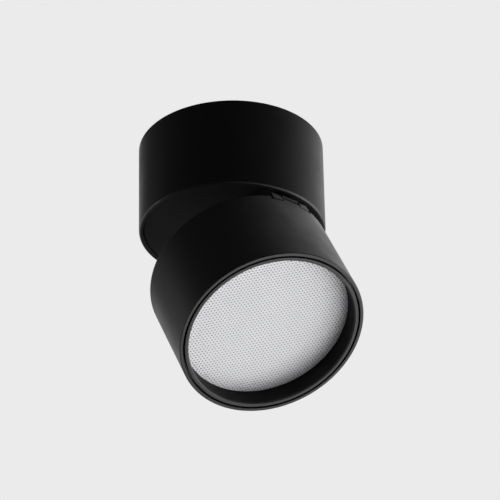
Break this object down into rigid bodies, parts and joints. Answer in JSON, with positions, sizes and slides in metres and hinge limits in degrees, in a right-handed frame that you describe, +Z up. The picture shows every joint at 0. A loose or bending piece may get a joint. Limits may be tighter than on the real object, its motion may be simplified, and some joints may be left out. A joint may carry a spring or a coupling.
{
  "type": "surface mounted light",
  "caption": "Round black ceiling spotlight: a canister base with a swivel plate carries a drum-shaped head on an edge hinge, with a recessed prismatic diffuser.",
  "frame": {"origin": "centre of the ceiling face, on the base's axis", "axes": "+Z up into the ceiling, +X from the base's axis towards the hinge, the head tilts towards +X"},
  "size_m": [0.1259, 0.1, 0.152],
  "materials": {
    "powder_coat": "matte black powder coat on die cast aluminium",
    "ring_coat": "satin black powder coat on turned aluminium",
    "baffle_black": "dead matt black moulded polycarbonate",
    "hinge_steel": "satin black paint on steel",
    "zinc_steel": "zinc plated",
    "screw_steel": "black oxide",
    "brass": "turned brass",
    "rubber": "moulded rubber",
    "nylon": "natural nylon",
    "black_acetal": "black acetal",
    "driver_case": "moulded polycarbonate",
    "circuit_board": "solder mask",
    "ferrite": "ferrite core with tape",
    "capacitor_sleeve": "shrink sleeve",
    "sink_metal": "bare die cast aluminium",
    "thermal_pad": "silicone pad",
    "led_board": "white solder mask on aluminium",
    "led_phosphor": "phosphor silicone",
    "reflector_white": "moulded white polycarbonate",
    "opal_acrylic": "micro-prismatic opal acrylic"
  },
  "bodies": {
    "base": {"ceiling_plate": "zinc_steel", "base_housing": "powder_coat", "locking_screws": "screw_steel", "cable_bush": "rubber", "earth_screw": "brass", "terminal_block": "nylon", "terminal_screws": "brass", "driver_tray": "driver_case", "driver_lid": "driver_case", "driver_board": "circuit_board", "transformer": "ferrite", "capacitors": "capacitor_sleeve", "choke": "ferrite", "driver_screws": "screw_steel", "swivel_washer": "nylon", "stop_pin": "screw_steel"},
    "swivel": {"swivel_plate": "powder_coat", "swivel_stem": "zinc_steel", "disc_spring": "zinc_steel", "stem_nut": "zinc_steel", "hinge_lug": "hinge_steel", "lug_screws": "screw_steel", "lead_bush": "rubber"},
    "head": {"head_housing": "powder_coat", "rear_cover": "powder_coat", "cover_screws": "screw_steel", "head_grommet": "rubber", "hinge_fork": "hinge_steel", "fork_screws": "screw_steel", "hinge_pin": "screw_steel", "friction_washers": "black_acetal", "sink_frame": "sink_metal", "heat_sink": "sink_metal", "sink_screws": "screw_steel", "thermal_pad": "thermal_pad", "led_board": "led_board", "led_chips": "led_phosphor", "board_screws": "screw_steel", "board_connector": "nylon", "reflector": "reflector_white", "diffuser_gasket": "rubber", "diffuser": "opal_acrylic", "baffle_sleeve": "baffle_black", "front_ring": "ring_coat"}
  },
  "joints": [
    {"name": "base_swivel", "type": "hinge", "parent": "base", "child": "swivel", "pos_m": [0, 0, -0.05], "axis": [0, 0, 1], "range_deg": [-175, 175]},
    {"name": "head_tilt", "type": "hinge", "parent": "swivel", "child": "head", "pos_m": [0.0478, 0, -0.0566], "axis": [0, -1, 0], "range_deg": [-28, 62]}
  ]
}
